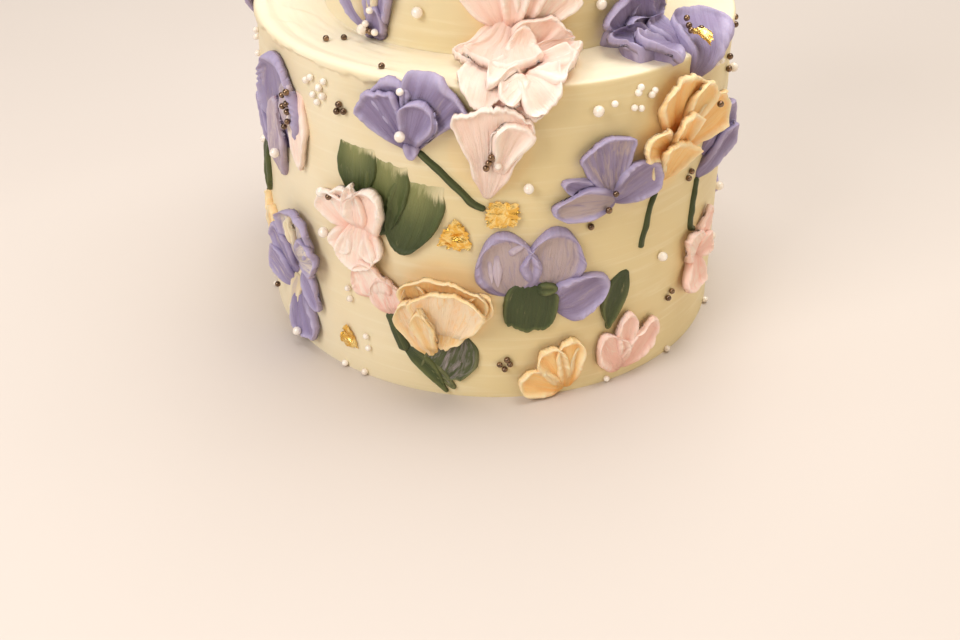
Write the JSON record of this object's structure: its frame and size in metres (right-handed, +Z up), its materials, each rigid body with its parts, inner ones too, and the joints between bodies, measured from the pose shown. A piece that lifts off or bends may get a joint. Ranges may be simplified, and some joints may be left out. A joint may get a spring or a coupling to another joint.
{
  "type": "two-tier buttercream cake",
  "caption": "Tall round two-tier buttercream cake with palette-knife flowers, leaves, sugar pearls and gold flakes on its walls and ledge.",
  "frame": {"origin": "centre of the flat base of the lower tier", "axes": "+Z up along the cake's axis, -Y towards the viewer of the front, +X to the viewer's right"},
  "size_m": [0.2274, 0.2406, 0.2814],
  "materials": {
    "ivory_icing": "satin buttercream, warm ivory, smoothed with a scraper",
    "lilac_icing": "satin buttercream, greyish lilac streaked paler",
    "pink_icing": "satin buttercream, pale blush with coral hollows",
    "peach_icing": "satin buttercream, soft peach with orange hollows",
    "green_icing": "satin buttercream, dark olive green streaked paler"
  },
  "bodies": {
    "root": {"leaf_back": "green_icing", "leaf_back_left": "green_icing", "leaf_back_low": "green_icing", "leaf_edge_left": "green_icing", "leaf_grey_front": "green_icing", "leaf_large_left": "green_icing", "leaf_large_middle": "green_icing", "leaf_large_right": "green_icing", "leaf_low_front": "green_icing", "leaf_pointed_back": "green_icing", "leaf_pointed_right": "green_icing", "leaf_pointed_upper": "green_icing", "leaf_strip_front": "green_icing", "leaf_trio_back_left": "green_icing", "leaf_trio_front": "green_icing", "lilac_behind_peach": "lilac_icing", "lilac_behind_stem": "green_icing", "lilac_cream_left": "lilac_icing", "lilac_cream_upper": "lilac_icing", "lilac_pair_back": "lilac_icing", "lilac_pair_back_stem": "green_icing", "lilac_pair_rim": "lilac_icing", "lilac_pair_stem": "green_icing", "lilac_pair_upper": "lilac_icing", "lilac_rim_back_left": "lilac_icing", "lilac_ruffle_ledge": "lilac_icing", "lilac_three_back": "lilac_icing", "lilac_three_back_right": "lilac_icing", "lilac_three_petal": "lilac_icing", "lilac_three_stem": "green_icing", "lilac_three_upper_back": "lilac_icing", "lilac_trio_back_left": "lilac_icing", "lilac_trio_front": "lilac_icing", "lilac_trio_upper": "lilac_icing", "lilac_tulip_left": "lilac_icing", "lower_tier": "ivory_icing", "peach_cup_back": "peach_icing", "peach_cup_front": "peach_icing", "peach_fan_edge_left": "peach_icing", "peach_fan_front": "peach_icing", "peach_fan_upper": "peach_icing", "peach_ruffle_back_left": "peach_icing", "peach_ruffle_right": "peach_icing", "peach_ruffle_upper": "peach_icing", "pink_burst_ledge": "pink_icing", "pink_crest_upper": "pink_icing", "pink_fall_ledge": "pink_icing", "pink_fan_back": "pink_icing", "pink_fan_right": "pink_icing", "pink_fan_upper": "pink_icing", "pink_fan_upper_back": "pink_icing", "pink_pair_left": "pink_icing", "pink_ruffle_back_left": "pink_icing", "pink_ruffle_edge": "pink_icing", "pink_ruffle_left": "pink_icing", "pink_trumpet_rim": "pink_icing", "upper_tier": "ivory_icing"}
  },
  "joints": []
}
